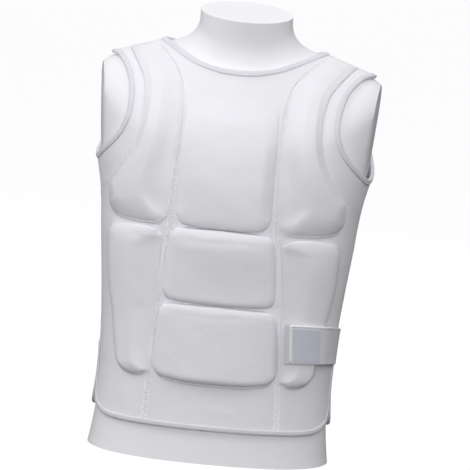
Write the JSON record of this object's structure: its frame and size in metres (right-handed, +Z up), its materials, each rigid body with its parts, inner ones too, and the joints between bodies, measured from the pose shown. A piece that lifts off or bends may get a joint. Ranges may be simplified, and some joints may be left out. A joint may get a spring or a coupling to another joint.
{
  "type": "karate chest protector on a torso dress form",
  "caption": "White sleeveless padded chest protector with raised foam pads, bound edges and a side strap, worn on a limbless torso dress form.",
  "frame": {"origin": "middle of the dress form's flat base, level with the surface it stands on", "axes": "+Z up, -Y towards the front of the chest, +X towards the wearer's left"},
  "size_m": [0.3795, 0.2448, 0.6096],
  "materials": {
    "form_satin": "satin",
    "knit_front": "white laminated knit",
    "knit_back": "white laminated knit",
    "knit_stretch": "white stretch knit",
    "edge_tape": "white folded edge tape",
    "pad_knit": "white knit over foam",
    "webbing": "pale grey elastic webbing",
    "patch": "blank grey-blue woven patch",
    "loop_tape": "white loop tape"
  },
  "bodies": {
    "root": {"torso_form": "form_satin", "front_center": "knit_front", "front_side_left": "knit_front", "front_side_right": "knit_front", "yoke_left": "knit_stretch", "yoke_right": "knit_stretch", "back_panel": "knit_back", "neck_binding": "edge_tape", "armhole_binding_left": "edge_tape", "armhole_binding_right": "edge_tape", "hem_binding_front": "edge_tape", "hem_binding_back": "edge_tape", "chest_pad": "pad_knit", "upper_belly_pad": "pad_knit", "lower_belly_pad": "pad_knit", "pec_pad_left": "pad_knit", "pec_pad_right": "pad_knit", "side_pad_left": "pad_knit", "side_pad_right": "pad_knit", "waist_strap": "webbing", "strap_patch": "patch", "landing_patch": "loop_tape"}
  },
  "joints": []
}
